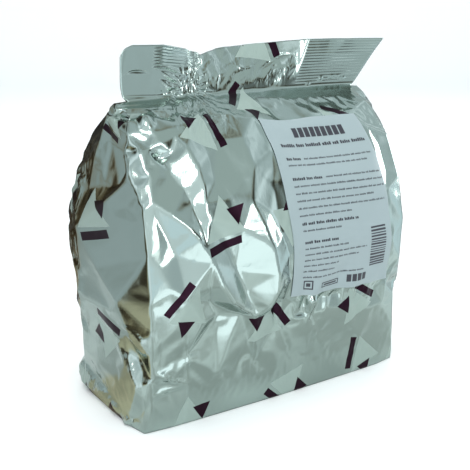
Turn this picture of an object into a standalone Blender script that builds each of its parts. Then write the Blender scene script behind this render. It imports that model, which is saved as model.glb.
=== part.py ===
"""A five kilogram bag of cement in metallised film, standing on its flat bottom.

The film bag is one closed solid: a gusseted tube that stands on a flat base, closes to a ridge
above its shoulders, and carries a crimped fin seal. The label is a thin sheet stuck to its front.
Units are metres, +Z is up, the front faces -Y, and the origin is the middle of the bounding box's
bottom face.
"""

import math

import bmesh
import bpy
from mathutils import Matrix, Vector

# Driving dimensions of the film bag
RIDGE_HEIGHT = 0.2015
OVERALL_HEIGHT = 0.235
BASE_Z = 0.0

# Cross-sections from the base up: height, half width, half depth, squareness, middle in Y, side tuck
SECTIONS = (
    (BASE_Z, 0.1070, 0.0456, 14.0, -0.0035, 0.000),
    (0.006, 0.1083, 0.0456, 12.0, -0.0045, 0.000),
    (0.038, 0.1070, 0.0461, 11.0, -0.0065, 0.000),
    (0.066, 0.1064, 0.0542, 9.0, -0.0025, 0.000),
    (0.095, 0.1074, 0.0636, 7.5, -0.0005, 0.000),
    (0.124, 0.1078, 0.0646, 6.5, 0.0005, 0.000),
    (0.152, 0.1078, 0.0560, 6.0, -0.0005, 0.002),
    (0.176, 0.1064, 0.0408, 5.5, -0.0025, 0.008),
    (0.192, 0.1021, 0.0218, 5.0, -0.0065, 0.009),
    (RIDGE_HEIGHT, 0.0950, 0.0043, 4.0, -0.0085, 0.000),
)
WALL_BULGE = 0.07
RING_POINTS = 24
SMOOTH_LEVELS = 2

# The folded corners of the block bottom stick out a little at the back
EAR_REACH_X = 0.006
EAR_REACH_Y = 0.003
EAR_SPREAD = 0.013

# The fin seal, a flat band that stands on the ridge and waves along its length
FIN_THICKNESS = 0.0012
FIN_FOOT = 0.195
FIN_FOOT_HALF = 0.091
FIN_TOP_HALF = 0.1025
FIN_TOP_SHIFT = 0.0075
FIN_LEAN_FORWARD = 0.011
FIN_LEAN_BACK = 0.015
FIN_LEAN_POWER = 1.5
FIN_SAG = 0.004
FIN_DIP = 0.007
FIN_DIP_PLACE = -0.35
FIN_DIP_WIDTH = 0.16
FIN_COLUMNS = 32
FIN_ROWS = 4

# The label, a thin sheet on the right half of the front, whose foot is further right than its head
LABEL_WIDTH = 0.083
LABEL_HEIGHT = 0.112
LABEL_CENTRE = (0.0375, 0.128)
LABEL_TILT = math.radians(1)
LABEL_LEAN = 0.11
LABEL_START_Y = -0.085
LABEL_THICKNESS = 0.0003
LABEL_GAP = 0.0004
LABEL_CELL = 0.006

FILM_COLOUR = (0.60, 0.67, 0.65, 1.0)
LABEL_COLOUR = (0.72, 0.79, 0.82, 1.0)


def clear_scene():
    for obj in list(bpy.data.objects):
        bpy.data.objects.remove(obj)


def make_collection(name, hidden=False):
    collection = bpy.data.collections.new(name)
    bpy.context.scene.collection.children.link(collection)
    collection.hide_render = hidden
    return collection


def make_material(name, colour, roughness, metallic):
    material = bpy.data.materials.new(name)
    material.use_nodes = True
    shader = material.node_tree.nodes["Principled BSDF"]
    shader.inputs["Base Color"].default_value = colour
    shader.inputs["Roughness"].default_value = roughness
    shader.inputs["Metallic"].default_value = metallic
    return material


def object_from_bmesh(name, bm, collection):
    mesh = bpy.data.meshes.new(name)
    bm.to_mesh(mesh)
    bm.free()
    obj = bpy.data.objects.new(name, mesh)
    collection.objects.link(obj)
    return obj


def ring_point(angle, height, half_width, half_depth, squareness, middle_y, tuck):
    """A point of a rounded rectangle whose corners sharpen as squareness grows, and whose ends fold in."""
    power = 2.0 / squareness
    across = math.copysign(abs(math.cos(angle)) ** power, math.cos(angle))
    deep = math.copysign(abs(math.sin(angle)) ** power, math.sin(angle))
    folded = across * (half_width - tuck * (1 - abs(deep)))
    bulged = deep * half_depth * (1 + WALL_BULGE * (1 - across**2))
    return Vector((folded, middle_y + bulged, height))


def push_out_ears(verts):
    """Moves the base's two back corners outwards, as the folded film does."""
    _, half_width, half_depth, _, middle_y, _ = SECTIONS[0]
    for vert in verts:
        corner = Vector((math.copysign(half_width, vert.co.x), middle_y + half_depth, BASE_Z))
        share = math.exp(-(((vert.co - corner).length / EAR_SPREAD) ** 2))
        vert.co.x += math.copysign(EAR_REACH_X * share, vert.co.x)
        vert.co.y += EAR_REACH_Y * share


def build_body(collection):
    """The filled bag up to its ridge: rings at each section, bridged, capped and smoothed."""
    bm = bmesh.new()
    crease = bm.edges.layers.float.new("crease_edge")
    # Half a step of turn keeps a point on each side of every corner
    angles = [2 * math.pi * (i + 0.5) / RING_POINTS for i in range(RING_POINTS)]
    lower = None
    for section in SECTIONS:
        ring = [bm.verts.new(ring_point(angle, *section)) for angle in angles]
        edges = [bm.edges.new((ring[i - 1], ring[i])) for i in range(RING_POINTS)]
        if lower is None:
            bm.faces.new(ring)
            for edge in edges:
                edge[crease] = 1.0
        else:
            bmesh.ops.bridge_loops(bm, edges=lower + edges)
        lower = edges
    bm.faces.new(ring)
    push_out_ears(bm.verts)
    bmesh.ops.recalc_face_normals(bm, faces=bm.faces)
    body = object_from_bmesh("film_bag", bm, collection)
    smooth = body.modifiers.new("Smooth", "SUBSURF")
    smooth.levels = smooth.render_levels = SMOOTH_LEVELS
    return body


def fin_point(along, up):
    """The fin's middle surface: along runs from -1 at the left end to 1, up from 0 at the foot to 1."""
    half = FIN_FOOT_HALF + (FIN_TOP_HALF - FIN_FOOT_HALF) * up
    sag = FIN_SAG * (1 - along**2) + FIN_DIP * math.exp(-(((along - FIN_DIP_PLACE) / FIN_DIP_WIDTH) ** 2))
    # Both ends lean forward, and the middle leans back
    lean = FIN_LEAN_BACK - (FIN_LEAN_BACK + FIN_LEAN_FORWARD) * along**2
    ridge_y = SECTIONS[-1][4]
    return Vector((
        along * half + FIN_TOP_SHIFT * up,
        ridge_y + lean * up**FIN_LEAN_POWER,
        FIN_FOOT + (OVERALL_HEIGHT - FIN_FOOT - sag) * up,
    ))


def build_fin(collection):
    """The fin seal as a thin plate, whose foot is buried in the ridge."""
    bm = bmesh.new()
    bmesh.ops.create_grid(bm, x_segments=FIN_COLUMNS, y_segments=FIN_ROWS, size=1.0)
    for vert in bm.verts:
        vert.co = fin_point(vert.co.x, (vert.co.y + 1) / 2)
    fin = object_from_bmesh("fin_seal", bm, collection)
    thicken = fin.modifiers.new("Thickness", "SOLIDIFY")
    thicken.thickness = FIN_THICKNESS
    thicken.offset = 0.0
    fin.display_type = "WIRE"
    fin.hide_render = True
    return fin


def build_label(collection, bag):
    """A grid in front of the bag, wrapped onto it and thickened."""
    columns = round(LABEL_WIDTH / LABEL_CELL)
    rows = round(LABEL_HEIGHT / LABEL_CELL)
    bm = bmesh.new()
    bmesh.ops.create_grid(bm, x_segments=columns, y_segments=rows, size=0.5)
    turn = Matrix.Rotation(-LABEL_TILT, 3, "Y")
    centre = Vector((LABEL_CENTRE[0], LABEL_START_Y, LABEL_CENTRE[1]))
    for vert in bm.verts:
        up = vert.co.y * LABEL_HEIGHT
        flat = Vector((vert.co.x * LABEL_WIDTH - LABEL_LEAN * up, 0, up))
        vert.co = centre + turn @ flat
    label = object_from_bmesh("label", bm, collection)
    wrap = label.modifiers.new("Wrap", "SHRINKWRAP")
    wrap.target = bag
    wrap.wrap_method = "PROJECT"
    wrap.use_project_y = True
    wrap.use_positive_direction = True
    wrap.use_negative_direction = False
    wrap.offset = LABEL_GAP
    thicken = label.modifiers.new("Thickness", "SOLIDIFY")
    thicken.thickness = LABEL_THICKNESS
    thicken.offset = 1.0
    return label


def main():
    clear_scene()
    parts = make_collection("cement_bag")
    helpers = make_collection("helpers", hidden=True)
    bag = build_body(parts)
    fin = build_fin(helpers)
    join = bag.modifiers.new("Fin", "BOOLEAN")
    join.operation = "UNION"
    join.object = fin
    bag.data.materials.append(make_material("metallised_film", FILM_COLOUR, roughness=0.2, metallic=1.0))
    label = build_label(parts, bag)
    label.data.materials.append(make_material("printed_label", LABEL_COLOUR, roughness=0.45, metallic=0.0))
    bag.data.shade_smooth()
    label.data.shade_smooth()


main()
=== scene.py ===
"""Looks of a five kilogram bag of cement: creased metallised film with plain printed shapes, and its label.

The film's grid follows the flat tube that the bag was made from: u runs around the tube in metres, 0 at the
middle of the front and growing to the right, and v runs up the front from the base.
"""

import math

import bmesh
import bpy
import numpy as np
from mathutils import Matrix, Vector
from mathutils.geometry import delaunay_2d_cdt


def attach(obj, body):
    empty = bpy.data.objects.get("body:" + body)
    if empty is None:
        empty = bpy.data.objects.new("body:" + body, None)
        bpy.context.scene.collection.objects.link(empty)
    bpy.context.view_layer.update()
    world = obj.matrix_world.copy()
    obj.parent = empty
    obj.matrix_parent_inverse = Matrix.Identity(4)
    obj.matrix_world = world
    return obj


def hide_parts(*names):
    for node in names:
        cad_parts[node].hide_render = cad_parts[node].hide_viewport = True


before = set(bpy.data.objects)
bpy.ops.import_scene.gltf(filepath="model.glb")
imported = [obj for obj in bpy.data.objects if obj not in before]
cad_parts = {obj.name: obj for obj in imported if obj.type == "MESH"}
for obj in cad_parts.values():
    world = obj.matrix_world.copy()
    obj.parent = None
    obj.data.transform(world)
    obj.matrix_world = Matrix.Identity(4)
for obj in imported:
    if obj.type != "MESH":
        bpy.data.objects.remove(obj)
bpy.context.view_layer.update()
scene = bpy.context.scene

# The bag's sections from the base up: height, half width, half depth, squareness, middle in Y, side tuck,
# middle in X
SECTIONS = (
    (0.000, 0.1070, 0.0456, 24.0, -0.0035, 0.000, 0.0000),
    (0.006, 0.1083, 0.0456, 19.0, -0.0045, 0.000, 0.0000),
    (0.038, 0.1075, 0.0466, 13.0, -0.0055, 0.000, -0.0012),
    (0.066, 0.1070, 0.0545, 9.5, -0.0025, 0.000, -0.0025),
    (0.095, 0.1078, 0.0636, 8.0, -0.0005, 0.000, -0.0028),
    (0.124, 0.1072, 0.0646, 7.0, 0.0005, 0.000, -0.0022),
    (0.152, 0.1060, 0.0560, 6.5, -0.0005, 0.002, -0.0010),
    (0.176, 0.1035, 0.0415, 6.0, -0.0025, 0.004, 0.0002),
    (0.192, 0.1015, 0.0240, 5.5, -0.0065, 0.003, -0.0005),
    (0.2005, 0.0975, 0.0043, 4.0, -0.0085, 0.000, -0.0010),
)
WALL_BULGE = 0.06
PANEL_WIDTH = 0.214
PANEL_DEPTH = 0.091
GIRTH = 2 * (PANEL_WIDTH + PANEL_DEPTH)

# The film's grid: cells across the front and each side, and the step between rows
FRONT_CELLS = 144
SIDE_CELLS = 60
BODY_STEP = 0.0016
PROFILE_POINTS = 1500
ARC_POINTS = 161
# Panels around the bag from the middle of the back over the left side: their ends in half turns, and cells
PANEL_ENDS = (0.5, 0.75, 1.25, 1.75, 2.25, 2.5)
PANEL_CELLS = (FRONT_CELLS // 2, SIDE_CELLS, FRONT_CELLS, SIDE_CELLS, FRONT_CELLS // 2)
FRONT_START = FRONT_CELLS // 2 + SIDE_CELLS
FRONT = slice(FRONT_START, FRONT_START + FRONT_CELLS + 1)

# The fin seal above the ridge
FIN_FOOT = 0.2015
FIN_TOP = 0.2345
FIN_FOOT_HALF = 0.0925
FIN_TOP_HALF = 0.1025
FIN_SHIFT = 0.0075
FIN_FOOT_Y = -0.0085
FIN_LEAN_POWER = 1.5
FIN_STEP = 0.0005
FIN_BLEND = 0.012
FILM_HALF = 0.0003


def spline(rows, t):
    """Smooth curve through the rows, which it meets at whole values of t."""
    rows = np.asarray(rows, float)
    low = np.clip(np.floor(t).astype(int), 0, len(rows) - 2)
    part = (t - low)[:, None]
    before = rows[np.maximum(low - 1, 0)]
    first = rows[low]
    second = rows[low + 1]
    after = rows[np.minimum(low + 2, len(rows) - 1)]
    cubic = 3 * first - before - 3 * second + after
    square = 2 * before - 5 * first + 4 * second - after
    return 0.5 * (2 * first + (second - before) * part + square * part**2 + cubic * part**3)


def smoothstep(value, low, high):
    part = np.clip((value - low) / (high - low), 0, 1)
    return part * part * (3 - 2 * part)


def band(value, start, full, fade, end):
    """1 from full to fade, and 0 up to the start and from the end."""
    return smoothstep(value, start, full) * (1 - smoothstep(value, fade, end))


def path_length(points):
    return np.concatenate([[0], np.cumsum(np.linalg.norm(np.diff(points, axis=0), axis=1))])


def resample(points, count):
    """The same path with its points at even steps."""
    length = path_length(points)
    even = np.linspace(0, length[-1], count + 1)
    return np.stack([np.interp(even, length, points[:, axis]) for axis in range(points.shape[1])], 1)


def body_ring(section):
    """One closed ring around the bag, panel by panel from the middle of the back."""
    height, half_width, half_depth, squareness, middle_y, tuck, middle_x = section
    ring = []
    for start, end, count in zip(PANEL_ENDS, PANEL_ENDS[1:], PANEL_CELLS):
        angle = np.linspace(start, end, ARC_POINTS) * math.pi
        across = np.copysign(np.abs(np.cos(angle)) ** (2 / squareness), np.cos(angle))
        deep = np.copysign(np.abs(np.sin(angle)) ** (2 / squareness), np.sin(angle))
        x = middle_x + across * (half_width - tuck * (1 - np.abs(deep)))
        y = middle_y + deep * half_depth * (1 + WALL_BULGE * (1 - across**2))
        ring.append(resample(np.stack([x, y, np.full_like(x, height)], 1), count)[:-1])
    ring = np.concatenate(ring)
    return np.concatenate([ring, ring[:1]])


# Along the fin from its left end: place, how far the top sags, how far it leans back, in metres
FIN_COURSE = (
    (-1.00, 0.0060, -0.006),
    (-0.985, 0.0030, -0.006),
    (-0.96, 0.0010, -0.006),
    (-0.92, -0.0005, -0.006),
    (-0.70, 0.0000, -0.003),
    (-0.50, 0.0035, 0.005),
    (-0.36, 0.0080, 0.011),
    (-0.22, 0.0050, 0.015),
    (0.05, 0.0028, 0.015),
    (0.25, 0.0015, 0.010),
    (0.395, 0.0003, 0.0030),
    (0.41, 0.0000, 0.0000),
    (0.60, 0.0000, -0.002),
    (1.00, 0.0005, -0.010),
)


def fin_middle(along, up):
    """Middle surface of the fin, whose ends lean to the front and whose middle has flopped back."""
    course = np.array(FIN_COURSE)
    sag = np.interp(along, course[:, 0], course[:, 1])
    lean = np.interp(along, course[:, 0], course[:, 2])
    half = FIN_FOOT_HALF + (FIN_TOP_HALF - FIN_FOOT_HALF) * up
    height = FIN_FOOT + (FIN_TOP - FIN_FOOT - sag) * up
    return np.stack([along * half + FIN_SHIFT * up, FIN_FOOT_Y + lean * up**FIN_LEAN_POWER, height], 1)


def both_sides(front, back):
    """A whole ring from its front, left to right, and its back, right to left, with straight sides."""
    side = np.linspace(0, 1, SIDE_CELLS + 1)[:, None]
    right = front[-1] * (1 - side) + back[0] * side
    left = back[-1] * (1 - side) + front[0] * side
    half = FRONT_CELLS // 2
    return np.concatenate([back[half:-1], left[:-1], front[:-1], right[:-1], back[: half + 1]])


def fin_ring(up):
    """One closed ring of the fin, whose front and back films lie on each other."""
    along = np.linspace(-1, 1, FRONT_CELLS + 1)
    middle = fin_middle(along, np.full_like(along, up))
    return both_sides(middle - [0, FILM_HALF, 0], (middle + [0, FILM_HALF, 0])[::-1])


def film_rows():
    """Rings of the whole film from the base to the fin's top, with the height up the film of each."""
    fine = np.linspace(0, len(SECTIONS) - 1, PROFILE_POINTS)
    sections = spline(SECTIONS, fine)
    profile = np.stack([sections[:, 4] - sections[:, 2] * (1 + WALL_BULGE), sections[:, 0]], 1)
    length = path_length(profile)
    count = round(length[-1] / BODY_STEP)
    heights = np.linspace(0, length[-1], count + 1)
    rings = [body_ring(section) for section in spline(SECTIONS, np.interp(heights, length, fine))]
    fin_count = round((FIN_TOP - FIN_FOOT) / FIN_STEP)
    rings += [fin_ring(up) for up in np.linspace(0, 1, fin_count + 1)]
    fin_start = length[-1] + (FIN_FOOT - SECTIONS[-1][0])
    fin_heights = fin_start + np.linspace(0, FIN_TOP - FIN_FOOT, fin_count + 1)
    return np.array(rings), np.concatenate([heights, fin_heights]), len(heights)


rings, row_v, body_rows = film_rows()
RIDGE_V = row_v[body_rows - 1]
TOP_V = row_v[-1]

front_u = np.linspace(-1, 1, FRONT_CELLS + 1) * PANEL_WIDTH / 2
side_u = np.linspace(0, PANEL_DEPTH, SIDE_CELLS + 1)
column_u = np.concatenate(
    [
        -PANEL_WIDTH / 2 - PANEL_DEPTH - np.linspace(PANEL_WIDTH / 2, 0, FRONT_CELLS // 2 + 1)[:-1],
        -PANEL_WIDTH / 2 - side_u[::-1][:-1],
        front_u[:-1],
        PANEL_WIDTH / 2 + side_u[:-1],
        PANEL_WIDTH / 2 + PANEL_DEPTH + np.linspace(0, PANEL_WIDTH / 2, FRONT_CELLS // 2 + 1),
    ]
)
U, V = np.meshgrid(column_u, row_v)


def grid_normals(points):
    """Outward normals of a grid of rings."""
    around = np.empty_like(points)
    around[:, 1:-1] = points[:, 2:] - points[:, :-2]
    around[:, 0] = around[:, -1] = points[:, 1] - points[:, -2]
    up = np.gradient(points, axis=0)
    normal = np.cross(around, up)
    size = np.linalg.norm(normal, axis=2, keepdims=True)
    return normal / np.maximum(size, 1e-12)


def soften(points, rounds):
    """The grid with its small relief smoothed away, as under a stiffer sheet."""
    for _ in range(rounds):
        points = points.copy()
        points[1:-1] = (points[:-2] + 2 * points[1:-1] + points[2:]) / 4
        points[:, 1:-1] = (points[:, :-2] + 2 * points[:, 1:-1] + points[:, 2:]) / 4
    return points


def mesh_object(name, verts, faces):
    mesh = bpy.data.meshes.new(name)
    mesh.from_pydata(verts, [], faces)
    mesh.shade_smooth()
    piece = bpy.data.objects.new(name, mesh)
    scene.collection.objects.link(piece)
    return piece


def quads_of(index):
    """The four-sided faces between the points of a grid."""
    return np.stack([index[:-1, :-1], index[:-1, 1:], index[1:, 1:], index[1:, :-1]], 2).reshape(-1, 4)


def grid_object(name, points, u, v):
    """A mesh of the grid, closed where the last column meets the first, with its film coordinates as UV."""
    rows, columns = points.shape[:2]
    index = np.arange(rows * (columns - 1)).reshape(rows, columns - 1)
    quads = quads_of(np.concatenate([index, index[:, :1]], 1))
    corners = quads_of(np.arange(rows * columns).reshape(rows, columns)).ravel()
    piece = mesh_object(name, points[:, :-1].reshape(-1, 3).tolist(), quads.tolist())
    flat = np.stack([u.ravel()[corners], v.ravel()[corners]], 1)
    piece.data.uv_layers.new(name="film").data.foreach_set("uv", flat.astype(np.float32).ravel())
    return piece


# Creases of the film, as points (u, v, height outward) in millimetres. Flat facets lie between them.
CREASES = (
    # The front left edge and the bright strip beside it
    ((-122, 181, 3), (-119, 170, 3), (-115, 158, 3), (-111, 145, 3.5), (-110, 134, 3.5), (-109, 120, 3.5)),
    ((-109, 120, 3.5), (-107, 92, 3), (-105, 72, 2.5), (-104, 57, 2.5), (-103, 37, 2)),
    ((-103, 37, 2), (-103, 22, 1), (-106, 0, 0)),
    ((-122, 181, 3), (-112, 182, 2.5), (-108, 165, 2), (-107, 150, 3), (-106, 138, 1.5), (-104, 128, 0.5)),
    ((-104, 128, 0.5), (-103, 112, 1)),
    # The long slanted facet of the front
    ((-107, 150, 3), (-96, 143, 3.5), (-84, 134, 4), (-77, 127, 4), (-73, 120, 3), (-68, 113, 2.5)),
    ((-112, 182, 2.5), (-103, 176, -0.5), (-93, 169, -2), (-86, 160, -2), (-80, 148, -1.5), (-76, 136, -0.5)),
    ((-76, 136, -0.5), (-73, 120, 3)),
    ((-107, 150, 3), (-102, 138, -0.5), (-97, 128, -2), (-92, 119, -2)),
    # The crescent above it and the hollow under the shoulder
    ((-86, 191, 1), (-91, 181, -1.5), (-93, 169, -2)),
    ((-86, 191, 1), (-80, 182, 3), (-75, 170, 3.5), (-72, 158, 3), (-72, 148, 2.5), (-70, 137, 1.5)),
    ((-112, 182, 2.5), (-106, 184, 0.5), (-97, 187, 1), (-86, 191, 1)),
    ((-122, 181, 3), (-120, 193, 1.5), (-100, 194, 1.5), (-86, 196, 1)),
    # The leaf in the middle of the front, and the valleys beside it
    ((-68, 113, 2.5), (-60, 97, 4), (-50, 84, 4.5), (-40, 76, 3), (-29, 69, 3)),
    ((-70, 137, 1.5), (-57, 121, -2), (-47, 104, -3.5), (-38, 87, -2.5), (-29, 69, 3)),
    ((-37, 146, 3), (-30, 130, 6), (-24, 115, 8), (-20, 100, 9), (-19, 88, 9.5), (-22, 77, 8), (-29, 69, 3)),
    ((-22, 137, 1), (-13, 122, 0.5), (-6, 108, 0), (-3, 90, -1), (-3, 75, -2), (-7, 58, -1)),
    ((-68, 113, 2.5), (-67, 95, -2), (-63, 82, -6), (-57, 71, -5)),
    ((-57, 71, -5), (-50, 75, -3), (-40, 71, -1), (-29, 69, 3)),
    # The shelf where the bulge ends and the upright skirt begins
    ((-105, 72, 2.5), (-88, 74, 1), (-70, 72, 0.5), (-57, 71, -5)),
    ((-29, 69, 3), (-18, 66, 1.5), (-7, 58, -1), (5, 58, 1)),
    ((5, 58, 1), (10, 60, 0), (18, 57, 2), (24, 58, 1), (36, 60, 1.5)),
    ((36, 60, 1.5), (52, 57, 1.5), (62, 57, 1), (75, 52, 1.5), (92, 50, 1), (107, 55, 1)),
    ((-88, 74, 1), (-80, 66, 1.2), (-79, 49, 1.5), (-77, 26, 1), (-78, 0, 0)),
    # The side: the great facet, the triangle above it, the strip at the back and the dent below
    ((-115, 158, 3), (-121, 162, 1.5), (-146, 141, 2), (-168, 121, 3)),
    ((-121, 162, 1.5), (-130, 157, -1), (-148, 153, -1.5), (-166, 148, -0.5), (-168, 121, 3)),
    ((-160, 208, 0), (-163, 184, 1), (-166, 148, -0.5)),
    ((-168, 121, 3), (-170, 100, 0.5), (-175, 75, 1), (-180, 50, 0.5), (-185, 31, 0.5)),
    ((-168, 121, 3), (-150, 100, 1), (-128, 86, 2), (-105, 72, 2.5)),
    ((-104, 57, 2.5), (-110, 63, 1), (-118, 66, 0.5), (-128, 61, 0.5), (-131, 54, 0.5), (-124, 42, 0)),
    ((-124, 42, 0), (-113, 31, 0), (-103, 22, 1)),
    # The back left edge of the bag
    ((-198, 205, 0), (-199, 185, 1), (-199, 165, 1.5), (-199, 145, 1.5), (-199, 125, 1.5), (-199, 100, 1.5)),
    ((-199, 100, 1.5), (-199, 75, 1.5), (-199, 50, 1), (-199, 30, 0.5), (-198, 0, 0)),
    # The gable under the seal
    ((-62, 160, 0.5), (-54, 185, 0), (-38, 203, 1), (-20, 197, 2)),
    ((-20, 197, 2), (-12, 176, 1), (-16, 155, 0.5), (-22, 137, 1)),
)
# Single points between the creases, which break the wide areas into facets
FACET_POINTS = (
    (-113, 48, -5), (-98, 179, -4.5), (-140, 72, 1.5), (-150, 55, 1), (-140, 28, 0.5), (-162, 28, 0.5),
    (-148, 184, -0.5), (-130, 180, -2.5), (-125, 168, -2.5), (-142, 200, 0), (-120, 205, 0),
    (-45, 130, 2), (-55, 148, 2), (-44, 158, 2), (-84, 92, 1), (-95, 98, 1), (-90, 40, 1),
    (-90, 24, -2), (-32, 165, 3.5), (-35, 184, 3), (-70, 200, 0), (-95, 205, 0), (-64, 178, 0),
    (3, 71, -2), (9, 73, 1), (15, 72, -2.5), (21, 72, 1.5), (29, 69, -2), (46, 68, -2.5), (54, 70, -1),
    (59, 71, 1.5), (66, 68, -2), (75, 66, 1), (84, 66, -1.5), (95, 66, 0.5), (10, 190, 0), (45, 195, 0),
    (75, 195, 0), (20, 150, 1), (60, 150, 1), (10, 110, 0.5), (50, 110, 1), (86, 183, 0.5),
    (82, 166, 1), (81, 150, 0.5), (86, 136, 0), (94, 150, -2.5), (94, 170, -2), (90, 105, 0),
    (107, 30, 0.5), (107, 85, 1), (107, 115, 1), (107, 145, 1), (107, 175, 1), (104, 205, 0),
    (-55, 30, 0.3), (-25, 32, 0.3), (5, 30, 0.3), (35, 30, 0.3), (70, 28, 0.3),
)
# The back and the right side have creases at random, which keep clear of the back left edge
LOOSE_START = (122, 26)
LOOSE_COLUMNS = 9
LOOSE_ROWS = 6
LOOSE_STEP = 36
LOOSE_JITTER = 10
LOOSE_DEPTH = 3.2
LOOSE_TOP = 205
LOOSE_FULL_V = 60
BACK_LEFT_U = -199
LOOSE_CLEAR = 14
# Flat points lie along the base and the ridge, creases repeat past the lap seal, and facets fade at the ridge
BASE_STEP = 18
WRAP_REACH = 90
FLATNESS = 0.9
FACET_FADE = (0.016, 0.002)
# Narrow folds: points (u, v), reach to the left and right, height, and where they are highest if not half way
THIN_FOLDS = (
    # The ledge under the left end of the seal, and the tucks below it
    (((-156, 226), (-110, 228), (-64, 227)), 2.2, 2.2, 1.1),
    (((-158, 221), (-110, 223), (-66, 223)), 2.2, 2.2, 1.1),
    (((-160, 216), (-110, 218), (-70, 219)), 2.4, 2.4, 1.2),
    (((-170, 209), (-125, 209), (-98, 213)), 4, 5, -4.0, 0.6),
    (((-98, 214), (-88, 208), (-80, 200)), 4, 5, -2.5, 0.4),
    (((-108, 183), (-99, 179), (-90, 182)), 4, 5, -3.0),
    # The left flap's line and its slanted folds
    (((-106, 243), (-94, 243.5), (-82, 242)), 1.2, 1.6, -0.6),
    (((-78, 247), (-62, 243), (-50, 238)), 2.4, 1.6, 1.0, 0.3),
    (((-77, 243), (-66, 238), (-56, 231)), 2.6, 1.8, 1.2, 0.3),
    (((-77, 238), (-70, 234), (-62, 228)), 2.4, 1.8, 1.0, 0.3),
    # Creases that meet on the crushed part of the seal
    (((-42, 254), (-36, 242), (-38, 226)), 2.5, 1.8, 1.2),
    (((-30, 252), (-27, 240), (-31, 226)), 2.5, 1.8, 1.0),
    (((8, 239), (16, 244), (23, 247)), 2.0, 1.6, -1.2, 0.7),
    (((23, 247), (29, 250), (37, 249)), 2.0, 1.6, -1.2, 0.3),
    (((23, 247), (22, 241), (17, 235)), 1.8, 1.8, -0.9, 0.3),
    (((-14, 248), (-4, 243), (4, 244)), 2.2, 2.2, 0.9),
    # Teeth under the label's foot
    (((-12, 92), (-10, 75), (-8, 52)), 4, 9, -5.0, 0.45),
    (((20, 92), (19, 70), (17, 50)), 8, 5, 4.2),
    (((36, 92), (35, 71), (32, 54)), 8, 4, 3.2),
    (((51, 92), (50, 70), (48, 56)), 7, 4, 3.0),
    (((63, 90), (61, 72), (60, 60)), 4, 5, 2.4),
    (((73, 88), (71, 74), (70, 62)), 4, 4, 2.2),
    # Upright folds beside the front left edge, and the folded corner between them
    (((-107, 94), (-105, 72), (-103, 57), (-103, 40)), 1.8, 2.2, 0.9),
    (((-102, 72), (-100, 54), (-99, 40)), 1.6, 1.6, 0.6),
    (((-83, 72), (-80, 57), (-78, 44), (-78, 28)), 1.8, 3.5, 0.9, 0.6),
    (((-102, 43), (-90, 36), (-76, 28)), 2.0, 5.0, 2.2, 0.35),
    (((-102, 25), (-90, 27), (-76, 28)), 4.5, 2.0, 2.0, 0.35),
    (((-105, 42), (-107, 24), (-109, 2)), 2.5, 2.5, 1.3),
    (((-101, 26), (-103, 14), (-105, 2)), 2.2, 2.2, 0.7),
    # The dent like a tube on the side
    (((-122, 66), (-117, 53), (-112, 41), (-108, 24)), 9, 8, -2.4, 0.4),
    (((-132, 70), (-119, 70), (-111, 64), (-106, 54), (-104, 42)), 3.0, 2.0, 1.4),
    (((-124, 58), (-122, 47), (-117, 36), (-112, 24)), 3.0, 2.5, 1.2),
    (((18, 44), (20, 30), (18, 16)), 1.6, 3.0, 0.4),
    (((-36, 40), (-35, 24), (-33, 14)), 1.6, 3.0, 0.4),
)
FOLD_STEPS = 6
TAPER_POWER = 0.8
CREST_POWER = 1.2


def window(low, high):
    """The part of the grid between two corners (u, v)."""
    rows = slice(*np.searchsorted(row_v, (low[1], high[1])))
    return rows, slice(*np.searchsorted(column_u, (low[0], high[0])))


def fold_relief(points, left, right, height, peak=0.5):
    """Height of one fold over the whole film."""
    spans = len(points) - 1
    route = spline(np.array(points) / 1000, np.linspace(0, spans, FOLD_STEPS * spans + 1))
    reach = max(left, right) / 1000
    area = window(route.min(0) - reach, route.max(0) + reach)
    place = np.stack([U[area], V[area]], 2)
    length = path_length(route)
    closest = np.full_like(U[area], np.inf)
    along = np.zeros_like(closest)
    on_left = np.zeros_like(closest, bool)
    for start, end, done in zip(route, route[1:], length):
        step = end - start
        part = np.clip((place - start) @ step / (step @ step), 0, 1)
        gap = place - start - part[..., None] * step
        away = np.hypot(gap[..., 0], gap[..., 1])
        nearer = away < closest
        closest[nearer] = away[nearer]
        along[nearer] = (done + part * np.linalg.norm(step))[nearer] / length[-1]
        on_left[nearer] = (step[0] * gap[..., 1] - step[1] * gap[..., 0] > 0)[nearer]
    taper = np.where(along < peak, along / peak, (1 - along) / (1 - peak)) ** TAPER_POWER + 1e-6
    width = np.where(on_left, left, right) / 1000 * taper
    relief = np.zeros_like(U)
    relief[area] = height / 1000 * taper * np.clip(1 - closest / width, 0, 1) ** CREST_POWER
    return relief


CRUMPLE_CELLS = 64


def crumple(u, v, size, seed, stretch=1.0, turn=0.0):
    """Crumpled foil: flat facets about one size across, with sharp creases between them, from -1 to 1."""
    random = np.random.default_rng(seed)
    heights = random.uniform(-1, 1, (CRUMPLE_CELLS, CRUMPLE_CELLS))
    x = (u * math.cos(turn) - v * math.sin(turn)) / size
    y = (u * math.sin(turn) + v * math.cos(turn)) / size / stretch
    phase = random.uniform(0, 2 * math.pi, 4)
    x, y = (
        x + 0.35 * np.sin(1.7 * y + phase[0]) + 0.25 * np.sin(0.9 * x + 2.3 * y + phase[1]),
        y + 0.35 * np.sin(1.9 * x + phase[2]) + 0.25 * np.sin(2.1 * x - 1.1 * y + phase[3]),
    )
    column = np.floor(x).astype(int)
    row = np.floor(y).astype(int)
    right = x - column
    up = y - row
    near, beside, above, far = (
        heights[(row + j) % CRUMPLE_CELLS, (column + i) % CRUMPLE_CELLS]
        for i, j in ((0, 0), (1, 0), (0, 1), (1, 1))
    )
    lower = near + right * (beside - near) + up * (far - beside)
    upper = near + up * (above - near) + right * (far - above)
    return np.where(right > up, lower, upper)


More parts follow.
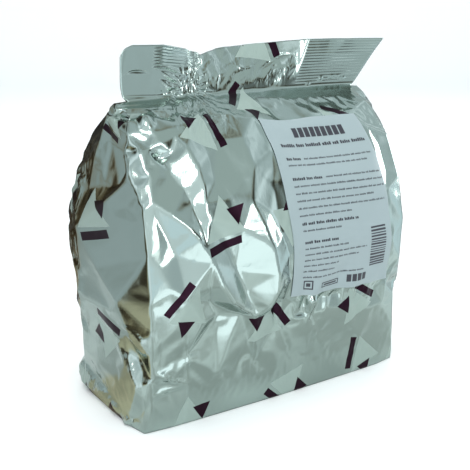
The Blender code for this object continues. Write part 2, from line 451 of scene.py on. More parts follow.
def sample(grid, u, v):
    """Values of a grid at places on the film."""
    column = np.interp(u, column_u, np.arange(len(column_u)))
    row = np.interp(v, row_v, np.arange(len(row_v)))
    i = np.clip(column.astype(int), 0, len(column_u) - 2)
    j = np.clip(row.astype(int), 0, len(row_v) - 2)
    right = (column - i)[..., None]
    up = (row - j)[..., None]
    low = grid[j, i] * (1 - right) + grid[j, i + 1] * right
    high = grid[j + 1, i] * (1 - right) + grid[j + 1, i + 1] * right
    return low * (1 - up) + high * up


def crease_net():
    """Points of all creases, in metres, and the triangles between them."""
    heights = {}
    lines = []
    for chain in CREASES:
        for u, v, height in chain:
            heights.setdefault((u, v), height)
        lines += [(start[:2], end[:2]) for start, end in zip(chain, chain[1:])]
    for u, v, height in FACET_POINTS:
        heights[(u, v)] = height
    random = np.random.default_rng(21)
    girth = GIRTH * 1000
    half = girth / 2
    for column in range(LOOSE_COLUMNS):
        for row in range(LOOSE_ROWS):
            u = LOOSE_START[0] + column * LOOSE_STEP + random.uniform(-LOOSE_JITTER, LOOSE_JITTER)
            v = LOOSE_START[1] + (row + 0.5 * (column % 2)) * LOOSE_STEP
            v += random.uniform(-LOOSE_JITTER, LOOSE_JITTER)
            height = random.uniform(-LOOSE_DEPTH, LOOSE_DEPTH) * min(1, v / LOOSE_FULL_V)
            if v < LOOSE_TOP and abs(u - girth - BACK_LEFT_U) > LOOSE_CLEAR:
                heights[(round(u if u < half else u - girth), round(v))] = height
    for u in np.arange(-half, half + 1, BASE_STEP):
        for edge in (0, RIDGE_V * 1000):
            heights[(round(u), round(edge))] = 0
    for (u, v), height in list(heights.items()):
        for turn in (-girth, girth):
            if abs(u + turn) < half + WRAP_REACH:
                heights[(u + turn, v)] = height
    places = list(heights)
    index = {place: k for k, place in enumerate(places)}
    edges = [(index[start], index[end]) for start, end in lines]
    corners = [Vector(place) for place in places]
    _, _, faces, origins, _, _ = delaunay_2d_cdt(corners, edges, [], 0, 0.01, True)
    assert all(origins), "two creases cross"
    flat = np.array([places[origin[0]] for origin in origins]) / 1000
    return flat, np.array([heights[places[origin[0]]] for origin in origins]) / 1000, np.array(faces)


def faceted(points):
    """The film with flat facets between its creases."""
    flat, height, faces = crease_net()
    wrapped = (flat[:, 0] + GIRTH / 2) % GIRTH - GIRTH / 2
    outward = sample(grid_normals(points), wrapped, flat[:, 1])
    corners = sample(points, wrapped, flat[:, 1]) + outward * height[:, None]
    target = points.copy()
    for face in faces:
        a, b, c = flat[face]
        area = window(flat[face].min(0) - 1e-6, flat[face].max(0) + 1e-6)
        u = U[area]
        v = V[area]
        whole = (b[0] - a[0]) * (c[1] - a[1]) - (c[0] - a[0]) * (b[1] - a[1])
        if abs(whole) < 1e-9:
            continue
        second = ((u - a[0]) * (c[1] - a[1]) - (c[0] - a[0]) * (v - a[1])) / whole
        third = ((b[0] - a[0]) * (v - a[1]) - (u - a[0]) * (b[1] - a[1])) / whole
        first = 1 - second - third
        inside = (first >= -1e-6) & (second >= -1e-6) & (third >= -1e-6)
        place = first[..., None] * corners[face[0]] + second[..., None] * corners[face[1]]
        place = place + third[..., None] * corners[face[2]]
        target[area][inside] = place[inside]
    share = FLATNESS * (1 - smoothstep(V, RIDGE_V - FACET_FADE[0], RIDGE_V - FACET_FADE[1]))[:, :, None]
    return points + (target - points) * share


def moved(points, relief):
    """The film moved outward by the relief; above the ridge both films of the fin move together."""
    offset = grid_normals(points) * relief[:, :, None]
    fin_offset = np.array([both_sides(row[FRONT], row[FRONT][::-1]) for row in offset])
    on_fin = smoothstep(V, RIDGE_V - FIN_BLEND, RIDGE_V)[:, :, None]
    return points + offset * (1 - on_fin) + fin_offset * on_fin


# The rolled hem of the block bottom along both sides, which grows into an ear at the back corners
back_share = smoothstep(np.abs(U), 0.112, 0.196)
hem_middle = 0.003 + 0.009 * back_share
hem_reach = 0.003 + 0.005 * back_share
hem = band(np.abs(U), 0.107, 0.120, 0.200, 0.212) * np.exp(-(((V - hem_middle) / hem_reach) ** 4))
hem_height = 0.0010 + 0.0026 * back_share
unevenness = 0.0003 * smoothstep(V, 0.0, 0.03) * crumple(U, V, 0.016, 5)
shaped = moved(faceted(rings), hem_height * hem + unevenness)

# Cloth that settles the folds into those of a thin film over powder, on a coarser grid
SETTLE_STEP = 2
FIN_SETTLE_START = 5
FIN_SETTLE_STEP = 6
SETTLE_FRAMES = 24
SLACK = 0.007
HOLD = 0.10


def settle(points):
    """The film after a short cloth simulation, in which it grows a little, so that it wrinkles."""
    rows = list(range(0, body_rows, SETTLE_STEP))
    rows += list(range(body_rows + FIN_SETTLE_START, len(points), FIN_SETTLE_STEP)) + [len(points) - 1]
    columns = list(range(0, points.shape[1], SETTLE_STEP))
    coarse = points[rows][:, columns]
    height = V[rows][:, columns]
    piece = grid_object("settling", coarse, U[rows][:, columns], height)
    held = np.maximum(1 - smoothstep(height, 0.004, 0.03), smoothstep(height, RIDGE_V - 0.020, RIDGE_V))
    group = piece.vertex_groups.new(name="held")
    for index, weight in enumerate(np.maximum(held, HOLD)[:, :-1].ravel()):
        group.add([index], float(weight), "REPLACE")
    cloth = piece.modifiers.new("cloth", "CLOTH")
    cloth.point_cache.frame_end = SETTLE_FRAMES
    cloth.collision_settings.use_collision = False
    film = cloth.settings
    film.quality = 6
    film.mass = 0.2
    film.tension_stiffness = film.compression_stiffness = 50
    film.shear_stiffness = 25
    film.bending_stiffness = 1.5
    film.vertex_group_mass = "held"
    film.use_pressure = True
    film.uniform_pressure_force = 0.8
    film.shrink_min = film.shrink_max = -SLACK
    film.effector_weights.gravity = 0
    for step in range(1, SETTLE_FRAMES + 1):
        scene.frame_set(step)
    settled = piece.evaluated_get(bpy.context.evaluated_depsgraph_get()).to_mesh()
    places = np.zeros(len(settled.vertices) * 3, np.float32)
    settled.vertices.foreach_get("co", places)
    bpy.data.objects.remove(piece)
    scene.frame_set(1)
    move = places.reshape(len(rows), len(columns) - 1, 3)
    move = np.concatenate([move, move[:, :1]], 1) - coarse
    by_row = np.stack([between(move[:, :, axis], rows, len(points)) for axis in range(3)], 2)
    by_column = [between(by_row[:, :, axis].T, columns, points.shape[1]).T for axis in range(3)]
    return points + np.stack(by_column, 2)


def between(values, known, count):
    """Values of every row, read between the known rows."""
    return np.stack([np.interp(np.arange(count), known, column) for column in values.T], 1)


shaped = settle(shaped)

# Where the seal gathers the film, the crushed part of the fin, and the strip at the back left edge
gather_middle = np.interp(V, (0.180, 0.212, 0.232, 0.252), (-0.058, -0.060, -0.055, -0.044))
gather_half = np.interp(V, (0.180, 0.205, 0.226, 0.252), (0.010, 0.022, 0.020, 0.007))
gather = np.exp(-(((U - gather_middle) / gather_half) ** 2)) * smoothstep(V, 0.178, 0.200)
crushed = band(U, -0.045, -0.030, 0.036, 0.046) * smoothstep(V, 0.226, 0.234)
strip = band(-U, 0.166, 0.180, 0.199, 0.206) * band(V, 0.040, 0.060, 0.165, 0.190)
# Small pleats fan out from where the seal is pinched
PINCH = (-0.052, 0.231)
PLEATS = 17
PLEAT_HEIGHT = 0.0007
from_pinch = np.hypot(U - PINCH[0], V - PINCH[1])
pleats = np.sin(PLEATS * np.arctan2(V - PINCH[1], U - PINCH[0]) + 2.5 * crumple(U, V, 0.012, 17))
pleats *= smoothstep(from_pinch, 0.004, 0.012)

# Crimp ribs of the seal, finest on the right flap
RIB_PITCH = 0.0019
LEFT_RIB = 0.00032
RIGHT_RIB = 0.00024
along_fin = U / (PANEL_WIDTH / 2)
left_ribs = smoothstep(along_fin, -0.80, -0.72) * smoothstep(-along_fin, 0.38, 0.44)
left_ribs *= smoothstep(V - 0.1 * U, TOP_V - 0.008, TOP_V - 0.006)
right_ribs = smoothstep(along_fin, 0.41, 0.44) * (0.45 + 0.55 * smoothstep(V, TOP_V - 0.011, TOP_V - 0.009))
right_ribs *= smoothstep(V, RIDGE_V + 0.003, RIDGE_V + 0.006)
ribs = np.sin((TOP_V - V) / RIB_PITCH * 2 * math.pi)

# Dots pressed into the right flap, and the bubble under the left end of the seal: u, v, radius, height
DOTS = (
    (0.057, 0.229, 0.0022, 0.0006),
    (0.068, 0.232, 0.0022, 0.0008),
    (0.078, 0.233, 0.0018, 0.0006),
    (0.084, 0.233, 0.0016, 0.0005),
    (0.091, 0.232, 0.0018, 0.0006),
    (-0.105, 0.203, 0.0085, 0.0045),
)

# Crumples of the film: height, where they are, size of a facet, seed, stretch and turn
CRUMPLES = (
    (0.0006, gather, 0.0060, 11, 1.8, 0.5),
    (0.0009, crushed, 0.0110, 13, 1.0, 0.2),
    (0.0004, crushed, 0.0060, 14, 1.0, 0.0),
    (0.0016, strip, 0.0075, 15, 1.3, 1.2),
    (0.0018, hem, 0.0070, 16, 1.0, 0.0),
)

# The lap seal down the middle of the back
LAP_WIDTH = 0.013
LAP_HEIGHT = 0.0011
from_back = np.where(U > 0, GIRTH / 2 - U, -GIRTH / 2 - U)
lap = band(from_back, -0.0015, 0.0, LAP_WIDTH, LAP_WIDTH + 0.0030)

# Smoothing takes small relief away near the ridge and under the label
RIDGE_SOFTNESS = 0.009
SOFT_ROUNDS = 14

relief = PLEAT_HEIGHT * gather * pleats
for height, place, size, seed, stretch, turn in CRUMPLES:
    relief += height * place * crumple(U, V, size, seed, stretch, turn)
relief += (LEFT_RIB * left_ribs + RIGHT_RIB * right_ribs) * ribs
relief += LAP_HEIGHT * lap * smoothstep(V, 0.002, 0.004)
for u, v, radius, height in DOTS:
    relief += height * np.clip(1 - ((U - u) ** 2 + (V - v) ** 2) / radius**2, 0, 1) ** 1.5
for fold in THIN_FOLDS:
    relief += fold_relief(*fold)
near_ridge = np.exp(-(((V - RIDGE_V) / RIDGE_SOFTNESS) ** 2))[:, :, None]
shaped = shaped + (soften(shaped, SOFT_ROUNDS) - shaped) * near_ridge
shaped = moved(shaped, relief)
shaped[:, :, 2] = np.maximum(shaped[:, :, 2], FILM_HALF)
# How strong the finest crinkles are, which the material adds
crinkle = np.maximum.reduce([0.03 + 0 * U, 0.8 * gather, 0.25 * crushed, 0.5 * strip, 0.8 * hem])


# The label, stuck to the right half of the front, in film coordinates, and its print from the top left corner
LABEL_WIDTH = 88
LABEL_HEIGHT = 118
LABEL_CORNERS = np.array(((-14, 197), (80, 195), (96, 70), (1, 75))) / 1000
LABEL_CELL = 0.8
LABEL_LIFT = 0.00035
PRINT_LIFT = 0.00006


def label_to_film(across, down):
    """From millimetres across and down the label to film coordinates."""
    right = (across / LABEL_WIDTH)[..., None]
    low = (down / LABEL_HEIGHT)[..., None]
    top_left, top_right, low_right, low_left = LABEL_CORNERS
    top = top_left * (1 - right) + top_right * right
    bottom = low_left * (1 - right) + low_right * right
    place = top * (1 - low) + bottom * low
    return place[..., 0], place[..., 1]


def inside_label():
    """How far each point of the film is inside the label's edge, in metres; below 0 outside."""
    depth = np.ones_like(U)
    for start, end in zip(LABEL_CORNERS, np.roll(LABEL_CORNERS, -1, axis=0)):
        step = (end - start) / np.linalg.norm(end - start)
        depth = np.minimum(depth, step[1] * (U - start[0]) - step[0] * (V - start[1]))
    return depth


# The folded bottom, which lies above its rim, with a lap down its middle
BASE_ROWS = 20
BASE_LIFT = 0.0012
BASE_LAP = 0.007
BASE_EDGE = 0.002
BASE_CRINKLE = 0.2
JOIN_REACH = 2e-6


def with_base(points, u, v):
    """The grid with rows for the folded bottom panel before its first row."""
    rim = points[0]
    middle_y = (rim[:, 1].min() + rim[:, 1].max()) / 2
    half_line = (PANEL_WIDTH - PANEL_DEPTH) / 2
    middle = np.stack([np.clip(rim[:, 0], -half_line, half_line), np.full(len(rim), middle_y)], 1)
    rows = []
    for share in np.linspace(0, 1, BASE_ROWS + 1)[:-1]:
        place = middle + (rim[:, :2] - middle) * share
        lap = 1 - smoothstep(np.abs(place[:, 1] - middle_y), BASE_LAP, BASE_LAP + BASE_EDGE)
        past_line = np.abs(place[:, 0]) - np.abs(place[:, 1] - middle_y)
        tuck = smoothstep(past_line, half_line, half_line + BASE_EDGE)
        lift = BASE_LIFT * smoothstep(1 - share, 0, 0.15) * (1 - 0.7 * lap * (1 - tuck) + 0.6 * tuck)
        rows.append(np.concatenate([place, (rim[:, 2] + lift)[:, None]], 1))
    depth = -np.linspace(1, 0, BASE_ROWS + 1)[:-1, None] * PANEL_DEPTH / 2
    return (
        np.concatenate([np.array(rows), points]),
        np.concatenate([np.repeat(u[:1], BASE_ROWS, 0), u]),
        np.concatenate([np.repeat(depth, u.shape[1], 1), v]),
    )


def pinched(points):
    """The grid with the fin's sides gathered to its edges and its two films joined along the top."""
    points = points.copy()
    half = FRONT_CELLS // 2
    for start in (half, half + SIDE_CELLS + FRONT_CELLS):
        turn = start + SIDE_CELLS // 2
        end = start + SIDE_CELLS
        points[body_rows:, start:turn] = points[body_rows:, start : start + 1]
        points[body_rows:, turn:end] = points[body_rows:, end : end + 1]
    front = points[-1, FRONT]
    back = np.concatenate([points[-1, FRONT.stop - 1 + SIDE_CELLS : -1], points[-1, : half + 1]])[::-1]
    points[-1] = both_sides((front + back) / 2, ((front + back) / 2)[::-1])
    return points


def joined(piece, reach):
    """Merge the points of a mesh that lie on each other."""
    work = bmesh.new()
    work.from_mesh(piece.data)
    bmesh.ops.remove_doubles(work, verts=work.verts, dist=reach)
    work.to_mesh(piece.data)
    work.free()


under_label = smoothstep(inside_label(), -0.0030, -0.0005)[:, :, None]
shaped = shaped * (1 - under_label) + soften(shaped, SOFT_ROUNDS) * under_label
label_normals = grid_normals(soften(shaped, 2))
film = grid_object("film", *with_base(pinched(shaped), U, V))
fineness = film.data.attributes.new("crinkle", "FLOAT", "POINT")
crinkle = np.concatenate([np.full((BASE_ROWS, crinkle.shape[1]), BASE_CRINKLE), crinkle])
fineness.data.foreach_set("value", crinkle[:, :-1].astype(np.float32).ravel())
joined(film, JOIN_REACH)


def patch(left, right, top, bottom, lift):
    """Verts and faces of a rectangle of the label, in millimetres from its top left corner."""
    columns = max(1, round((right - left) / LABEL_CELL))
    rows = max(1, round((bottom - top) / LABEL_CELL))
    across, down = np.meshgrid(np.linspace(left, right, columns + 1), np.linspace(top, bottom, rows + 1))
    u, v = label_to_film(across, down)
    points = (sample(shaped, u, v) + sample(label_normals, u, v) * lift).reshape(-1, 3)
    index = np.arange((rows + 1) * (columns + 1)).reshape(rows + 1, columns + 1)
    return points, quads_of(index[::-1])


points, faces = patch(0, LABEL_WIDTH, 0, LABEL_HEIGHT, LABEL_LIFT)
label = mesh_object("printed_label", points.tolist(), faces.tolist())

# Print that stands for text, in lines of short dashes grouped like words, in millimetres: left, right, top,
# bottom, and the share of a dash in its pitch
PRINT_LINES = (
    [(8, 85, 18, 20.2, 0.80), (8, 22, 27.2, 29, 0.80), (24, 84, 27.5, 28.7, 0.66)]
    + [(8, 78, 31.6, 32.8, 0.66), (8, 34, 40, 41.8, 0.80), (36, 86, 40.3, 41.5, 0.66)]
    + [(8, right, 44.8 + 4.5 * k, 46 + 4.5 * k, 0.66) for k, right in enumerate((87, 87, 75, 85, 53))]
    + [(9, 58, 67.6, 69.4, 0.80), (9, 42, 72.2, 73.4, 0.66), (9, 37, 79.2, 81, 0.80)]
    + [(9, right, 83.6 + 4.1 * k, 84.8 + 4.1 * k, 0.66) for k, right in enumerate((46, 64, 56, 38, 35))]
    + [(9, 62, 104.4, 105.6, 0.66)]
)
DASH_PITCH = 0.85
DASH_WIDTHS = (0.75, 1.15)
WORD_GAP = 0.7
TALL_DASHES = 0.35
LOW_DASH_START = 0.22
# Rows of bold blocks at the head and the foot: left, right, top, bottom and number
BLOCK_ROWS = ((23, 70, 7.5, 14, 9), (47, 65, 108, 113.4, 4))
BLOCK_SHARE = 0.8
# A field of stripes: left, right, top and bottom
STRIPES = (67, 82, 76, 104)
STRIPE_WIDTHS = (0.6, 1.6)
STRIPE_GAPS = (0.6, 1.1)
# Plain shapes at the foot: frames by left, right, top, bottom and line width, and filled ones
FRAMES = ((10, 17, 107.5, 114, 0.9), (24, 40, 110, 114, 0.7))
FILLED = ((12, 15, 109.5, 112), (26, 38, 111.4, 112.6))


def add_print():
    random = np.random.default_rng(8)
    verts = []
    faces = []

    def add_shape(left, right, top, bottom):
        points, quads = patch(left, right, top, bottom, LABEL_LIFT + PRINT_LIFT)
        faces.extend((quads + len(verts)).tolist())
        verts.extend(points.tolist())

    for left, right, top, bottom, share in PRINT_LINES:
        pitch = DASH_PITCH * (bottom - top)
        place = left
        while place < right - pitch:
            for _ in range(random.integers(3, 9)):
                if place < right - pitch:
                    dash = pitch * share * random.uniform(*DASH_WIDTHS)
                    start = 0 if random.uniform() < TALL_DASHES else LOW_DASH_START
                    add_shape(place, place + dash, top + start * (bottom - top), bottom)
                    place += dash + pitch * (1 - share)
            place += WORD_GAP * pitch
    for left, right, top, bottom, count in BLOCK_ROWS:
        pitch = (right - left) / count
        for k in range(count):
            add_shape(left + k * pitch, left + (k + BLOCK_SHARE) * pitch, top, bottom)
    left, right, place, bottom = STRIPES
    while place < bottom:
        width = random.uniform(*STRIPE_WIDTHS)
        add_shape(left, right, place, place + width)
        place += width + random.uniform(*STRIPE_GAPS)
    for left, right, top, bottom, line in FRAMES:
        add_shape(left, right, top, top + line)
        add_shape(left, right, bottom - line, bottom)
        add_shape(left, left + line, top + line, bottom - line)
        add_shape(right - line, right, top + line, bottom - line)
    for shape in FILLED:
        add_shape(*shape)
    return mesh_object("label_print", verts, faces)


label_print = add_print()


def new_material(name):
    material = bpy.data.materials.new(name)
    material.use_nodes = True
    return material, material.node_tree


def add(tree, kind, inputs=None, output=0, **settings):
    """An output of a new shader node, whose inputs are values or the outputs of other nodes."""
    node = tree.nodes.new("ShaderNode" + kind)
    for name, value in settings.items():
        setattr(node, name, value)
    for name, value in (inputs or {}).items():
        if isinstance(value, bpy.types.NodeSocket):
            tree.links.new(value, node.inputs[name])
        else:
            node.inputs[name].default_value = value
    return node.outputs[output]


def maths(tree, operation, *values):
    return add(tree, "Math", dict(enumerate(values)), operation=operation)


def mixed(tree, share, first, second, blend="MIX"):
    return add(tree, "Mix", {"Factor": share, 6: first, 7: second}, 2, data_type="RGBA", blend_type=blend)


def smooth_share(tree, value, low, high):
    """0 at the low value, 1 at the high one, and smooth between them."""
    limits = {"Value": value, "From Min": low, "From Max": high}
    return add(tree, "MapRange", limits, interpolation_type="SMOOTHSTEP")


def ramp(tree, share, stops):
    colour_at = add(tree, "ValToRGB", {0: share})
    elements = colour_at.node.color_ramp.elements
    while len(elements) < len(stops):
        elements.new(0.5)
    for element, (place, colour) in zip(elements, stops):
        element.position = place
        element.color = colour
    return colour_at


# The film and its print, one motif over and over: triangles by middle, inner radius and the way a side faces,
# and a bar by middle, half length, half width and angle
SILVER = (0.42, 0.50, 0.465, 1)
DARK_INK = (0.030, 0.012, 0.022, 1)
PALE_INK = (0.30, 0.38, 0.345, 1)
MOTIF_SPACING = 0.066
MOTIF_SHIFT = (0.35, 0.2, 0)
PALE_TRIANGLE = ((0, 0), 0.0085, 90)
DARK_TRIANGLE = ((-0.010, -0.004), 0.0038, -90)
DARK_BAR = ((0.001, 0.0135), 0.0125, 0.0027, 3)
PALE_METALLIC = 0.25
FILM_ROUGHNESS = 0.13
PRINT_ROUGHNESS = 0.34
# Two layers of crinkles: size and share of the height
CRINKLES = ((0.0075, 1.0), (0.0034, 0.45))
CRINKLE_STRETCH = 0.6
CRINKLE_HEIGHT = 0.0016
LABEL_COLOUR = (0.285, 0.35, 0.362, 1)
INK_COLOUR = (0.03, 0.03, 0.04, 1)


def motif_place(tree, coordinates):
    """Places within the motif of each cell, where motifs are turned at random."""
    scale = (1 / MOTIF_SPACING, 1 / MOTIF_SPACING, 1)
    places = add(tree, "Mapping", {"Vector": coordinates, "Scale": scale, "Location": MOTIF_SHIFT})
    cells = {"Vector": places, "Scale": 1, "Randomness": 0.5}
    middle = add(tree, "TexVoronoi", cells, "Position", voronoi_dimensions="2D")
    gap = add(tree, "VectorMath", {0: places, 1: middle}, operation="SUBTRACT")
    luck = add(tree, "SeparateColor", {0: middle.node.outputs["Color"]}, "Green")
    turn = maths(tree, "MULTIPLY", luck, 2 * math.pi)
    return add(tree, "VectorRotate", {"Vector": gap, "Angle": turn}, rotation_type="Z_AXIS")


def distance(tree, place, middle, angle):
    """How far a place of the motif lies from a shape's middle in one direction, in metres."""
    start = (middle[0] / MOTIF_SPACING, middle[1] / MOTIF_SPACING, 0)
    gap = add(tree, "VectorMath", {0: place, 1: start}, operation="SUBTRACT")
    turn = math.radians(angle)
    way = (MOTIF_SPACING * math.cos(turn), MOTIF_SPACING * math.sin(turn), 0)
    return add(tree, "VectorMath", {0: gap, 1: way}, "Value", operation="DOT_PRODUCT")


def triangle(tree, place, middle, radius, angle):
    sides = [distance(tree, place, middle, angle + 120 * k) for k in range(3)]
    furthest = maths(tree, "MAXIMUM", maths(tree, "MAXIMUM", *sides[:2]), sides[2])
    return maths(tree, "LESS_THAN", furthest, radius)


def bar(tree, place, middle, half_length, half_width, angle):
    beyond = [
        maths(tree, "SUBTRACT", maths(tree, "ABSOLUTE", distance(tree, place, middle, angle + turn)), half)
        for turn, half in ((0, half_length), (90, half_width))
    ]
    return maths(tree, "LESS_THAN", maths(tree, "MAXIMUM", *beyond), 0)


def crinkled(tree, coordinates):
    """Normals of fine crinkles, strongest where the film is crushed."""
    height = 0
    for size, amount in CRINKLES:
        scale = (1 / size, CRINKLE_STRETCH / size, 1)
        place = add(tree, "Mapping", {"Vector": coordinates, "Scale": scale})
        values = {"Vector": place, "Scale": 1, "Detail": 0.5, "Distortion": 1}
        noise = add(tree, "TexNoise", values, "Fac", noise_dimensions="2D")
        height = maths(tree, "MULTIPLY_ADD", noise, amount, height)
    strength = add(tree, "Attribute", output="Fac", attribute_name="crinkle")
    return add(tree, "Bump", {"Height": height, "Strength": strength, "Distance": CRINKLE_HEIGHT})


def film_look():
    material, tree = new_material("metallised_film")
    coordinates = add(tree, "UVMap", uv_map="film")
    place = motif_place(tree, coordinates)
    pale = triangle(tree, place, *PALE_TRIANGLE)
    dark_bar = bar(tree, place, *DARK_BAR)
    dark = maths(tree, "MAXIMUM", dark_bar, triangle(tree, place, *DARK_TRIANGLE))
    printed = maths(tree, "MAXIMUM", dark, pale)
    pale_only = maths(tree, "GREATER_THAN", maths(tree, "SUBTRACT", pale, dark), 0.5)
    metallic = {"Value": pale_only, "To Min": 1, "To Max": PALE_METALLIC}
    roughness = {"Value": printed, "To Min": FILM_ROUGHNESS, "To Max": PRINT_ROUGHNESS}
    shader = tree.nodes["Principled BSDF"]
    for name, output in (
        ("Base Color", mixed(tree, dark, mixed(tree, pale, SILVER, PALE_INK), DARK_INK)),
        ("Metallic", add(tree, "MapRange", metallic)),
        ("Roughness", add(tree, "MapRange", roughness)),
        ("Normal", crinkled(tree, coordinates)),
    ):
        tree.links.new(output, shader.inputs[name])
    return material


def plain_look(name, colour, roughness):
    material, tree = new_material(name)
    inputs = tree.nodes["Principled BSDF"].inputs
    inputs["Base Color"].default_value = colour
    inputs["Roughness"].default_value = roughness
    return material


film.data.materials.append(film_look())
label.data.materials.append(plain_look("printed_label", LABEL_COLOUR, 0.4))
label_print.data.materials.append(plain_look("label_ink", INK_COLOUR, 0.45))
for piece, node, slot in (
    (film, "film_bag", "metallised_film"),
    (label, "label", "printed_label"),
    (label_print, "label", "printed_label"),
):
    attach(piece, "root")
    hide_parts(node)

# The camera, with the photo's focal length and width in pixels
FOCAL_PIXELS = 858
PHOTO_PIXELS = 470
SENSOR_WIDTH = 36
CAMERA_PLACE = (-0.3238, -0.4793, 0.2646)
YAW = math.radians(33.7)
PITCH = math.radians(15.75)

# The backdrop, a floor that bends up into a wall on a radius of 1 m
FLOOR_FRONT = -1.6
FLOOR_BACK = 2.0
FLOOR_HALF = 1.7


def add_backdrop():
    """The floor and the wall behind the bag, square to the camera."""
    profile = [(FLOOR_FRONT, 0.0), (FLOOR_BACK, 0.0)]
    for angle in np.linspace(0.05, math.pi / 2, 16):
        profile.append((FLOOR_BACK + math.sin(angle), 1 - math.cos(angle)))
    verts = [(side, deep, up) for side in (-FLOOR_HALF, FLOOR_HALF) for deep, up in profile]
    count = len(profile)
    faces = [(count + k, count + k + 1, k + 1, k) for k in range(count - 1)]
    backdrop = mesh_object("backdrop", verts, faces)
    backdrop.rotation_euler = (0, 0, -YAW)
    backdrop.data.materials.append(floor_look())


def add_softbox(name, place, target, size, power, mirrored):
    light = bpy.data.lights.new(name, "AREA")
    light.shape = "RECTANGLE"
    light.size, light.size_y = size
    light.energy = power
    softbox = bpy.data.objects.new(name, light)
    softbox.location = place
    softbox.rotation_euler = (Vector(target) - Vector(place)).to_track_quat("-Z", "Y").to_euler()
    softbox.visible_glossy = mirrored
    scene.collection.objects.link(softbox)


# The room that the film mirrors: patches of these colours, from dark to bright
ROOM_SHIFT = (-1.1, -11.0, 6.4)
ROOM_SCALE = 1.64
ROOM_STOPS = (
    (0.26, (0.03, 0.028, 0.027, 1)),
    (0.33, (0.12, 0.11, 0.09, 1)),
    (0.37, (0.42, 0.42, 0.36, 1)),
    (0.42, (0.50, 0.57, 0.57, 1)),
    (0.58, (0.68, 0.78, 0.82, 1)),
    (0.66, (1.3, 1.4, 1.5, 1)),
)
# Its lights and pale walls: azimuth from the back over the right and elevation, the angles from there to the
# edge and the core, and the colour
ROOM_LIGHTS = (
    ((160, 49), (24, 12), (0.62, 0.71, 0.71, 1)),
    ((-154, 20), (45, 12), (1.05, 1.15, 1.20, 1)),
    ((108, -6), (14, 6), (0.95, 1.12, 1.22, 1)),
)
# Parts that darken or tint it, and one that does so only above the floor's end
ROOM_TINTS = (
    ((-25, 3), (75, 32), (0.84, 0.84, 0.84, 1)),
    ((66, -16), (28, 15), (0.26, 0.25, 0.24, 1)),
    ((-12, 4), (11, 7), (0.80, 0.60, 0.36, 1)),
    ((-88, -3), (16, 8), (0.95, 0.80, 0.56, 1)),
)
HORIZON_TINTS = (((141, 9), (16, 9), (0.36, 0.35, 0.34, 1)),)
# The floor is white to the camera; in the film it is painted grey near the bag, as painted shade, and further
# out it glows with the room's colours as painted light, with ovals of painted light: middle, half size and
# colour
FLOOR_WHITE = (0.97, 0.972, 0.972, 1)
PAINTED_FLOOR_SHADE_STOPS = ((0.38, (0.46, 0.48, 0.47, 1)), (0.62, (0.74, 0.77, 0.77, 1)))
PAINTED_LIGHT_POOLS = (
    ((-0.25, -0.37), (0.15, 0.15), (1.05, 1.22, 1.33, 1)),
    ((-0.06, -0.265), (0.080, 0.130), (1.75, 1.90, 2.00, 1)),
)
PAINTED_POOL_EDGE = 0.75
FLOOR_FADE = (0.14, 0.40)


def with_parts(tree, colour, direction, parts, blend):
    """A colour changed where the direction comes near each of the room's parts."""
    for (azimuth, elevation), (edge, core), part_colour in parts:
        across = math.radians(azimuth)
        up = math.radians(elevation)
        way = (math.sin(across) * math.cos(up), math.cos(across) * math.cos(up), math.sin(up))
        nearness = add(tree, "VectorMath", {0: direction, 1: way}, "Value", operation="DOT_PRODUCT")
        share = smooth_share(tree, nearness, math.cos(math.radians(edge)), math.cos(math.radians(core)))
        colour = mixed(tree, share, colour, part_colour, blend)
    return colour


def room_colours(tree, direction):
    shifted = add(tree, "Mapping", {"Vector": direction, "Location": ROOM_SHIFT})
    values = {"Vector": shifted, "Scale": ROOM_SCALE, "Detail": 0.8}
    patches = add(tree, "TexNoise", values, "Fac", noise_dimensions="3D")
    colour = with_parts(tree, ramp(tree, patches, ROOM_STOPS), direction, ROOM_LIGHTS, "MIX")
    return with_parts(tree, colour, direction, ROOM_TINTS, "MULTIPLY")


def add_world():
    """A studio around the bag: white to the camera, and a room in the reflections."""
    world = bpy.data.worlds.new("studio")
    scene.world = world
    world.use_nodes = True
    tree = world.node_tree
    direction = add(tree, "TexCoord", output="Generated")
    room = tree.nodes["Background"]
    colour = with_parts(tree, room_colours(tree, direction), direction, HORIZON_TINTS, "MULTIPLY")
    tree.links.new(colour, room.inputs["Color"])
    plain = add(tree, "Background", {"Color": (1, 1, 1, 1)})
    seen = add(tree, "LightPath", output="Is Camera Ray")
    surface = add(tree, "MixShader", {0: seen, 1: room.outputs[0], 2: plain})
    tree.links.new(surface, tree.nodes["World Output"].inputs["Surface"])


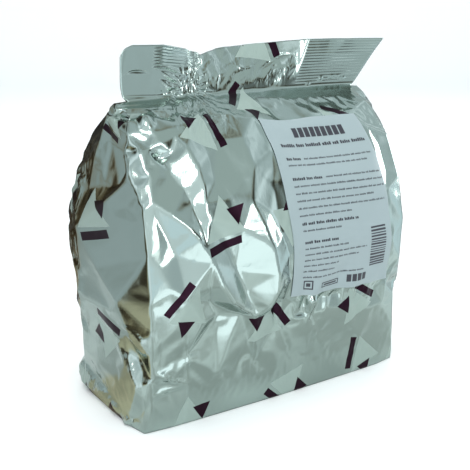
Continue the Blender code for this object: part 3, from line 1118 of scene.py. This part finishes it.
def floor_look():
    material, tree = new_material("floor")
    shader = tree.nodes["Principled BSDF"]
    shader.inputs["Roughness"].default_value = 0.9
    mirrored = add(tree, "LightPath", output="Is Glossy Ray")
    place = add(tree, "TexCoord", output="Object")
    around = add(tree, "VectorRotate", {"Vector": place, "Angle": -YAW}, rotation_type="Z_AXIS")
    direction = add(tree, "VectorMath", {0: around}, operation="NORMALIZE")
    values = {"Vector": around, "Scale": 14, "Detail": 1}
    # Painted shade: in reflections only, the floor's colour is a mottled grey, darker or tinted tan in some
    # directions from the bag
    painted_floor_shade = ramp(tree, add(tree, "TexNoise", values, "Fac", noise_dimensions="2D"), PAINTED_FLOOR_SHADE_STOPS)
    painted_floor_shade = with_parts(tree, painted_floor_shade, direction, ROOM_TINTS, "MULTIPLY")
    tree.links.new(mixed(tree, mirrored, FLOOR_WHITE, painted_floor_shade), shader.inputs["Base Color"])

    away = add(tree, "VectorMath", {0: place}, "Value", operation="LENGTH")
    share = smooth_share(tree, away, *FLOOR_FADE)
    colour = room_colours(tree, direction)
    # Painted pools of light, which glow on the floor in reflections only
    for middle, half, painted_pool_colour in PAINTED_LIGHT_POOLS:
        scale = (1 / half[0], 1 / half[1], 1)
        shift = (-middle[0] / half[0], -middle[1] / half[1], 0)
        pool = add(tree, "Mapping", {"Vector": around, "Scale": scale, "Location": shift})
        from_middle = add(tree, "VectorMath", {0: pool}, "Value", operation="LENGTH")
        inside = smooth_share(tree, from_middle, 1.0, PAINTED_POOL_EDGE)
        colour = mixed(tree, inside, colour, painted_pool_colour)
        share = maths(tree, "MAXIMUM", share, inside)
    # Painted light: in reflections only, the floor glows with the room's colours and the pools, though it is
    # no lamp
    painted_glow = add(tree, "Emission", {"Color": colour})
    share = maths(tree, "MULTIPLY", mirrored, share)
    surface = add(tree, "MixShader", {0: share, 1: shader.outputs[0], 2: painted_glow})
    tree.links.new(surface, tree.nodes["Material Output"].inputs["Surface"])
    return material


# Softboxes: name, place, target, size, power and whether the film mirrors them
SOFTBOXES = (
    ("key", (-1.1, -1.3, 1.2), (0, 0, 0.1), (0.9, 0.7), 10, True),
    ("right", (1.6, -0.08, 0.35), (0, 0, 0.1), (0.45, 0.55), 4, True),
    ("front", (0.15, -1.9, 0.5), (0, 0, 0.1), (0.45, 0.7), 5, True),
    ("ceiling", (0.0, 0.2, 2.2), (0, 0, 0), (2.5, 2.5), 40, False),
)

add_backdrop()
add_world()
for softbox in SOFTBOXES:
    add_softbox(*softbox)

camera_data = bpy.data.cameras.new("camera")
camera_data.lens = SENSOR_WIDTH * FOCAL_PIXELS / PHOTO_PIXELS
camera = bpy.data.objects.new("camera", camera_data)
camera.location = CAMERA_PLACE
camera.rotation_euler = (math.pi / 2 - PITCH, 0, -YAW)
scene.collection.objects.link(camera)
scene.camera = camera
scene.view_settings.view_transform = "Standard"
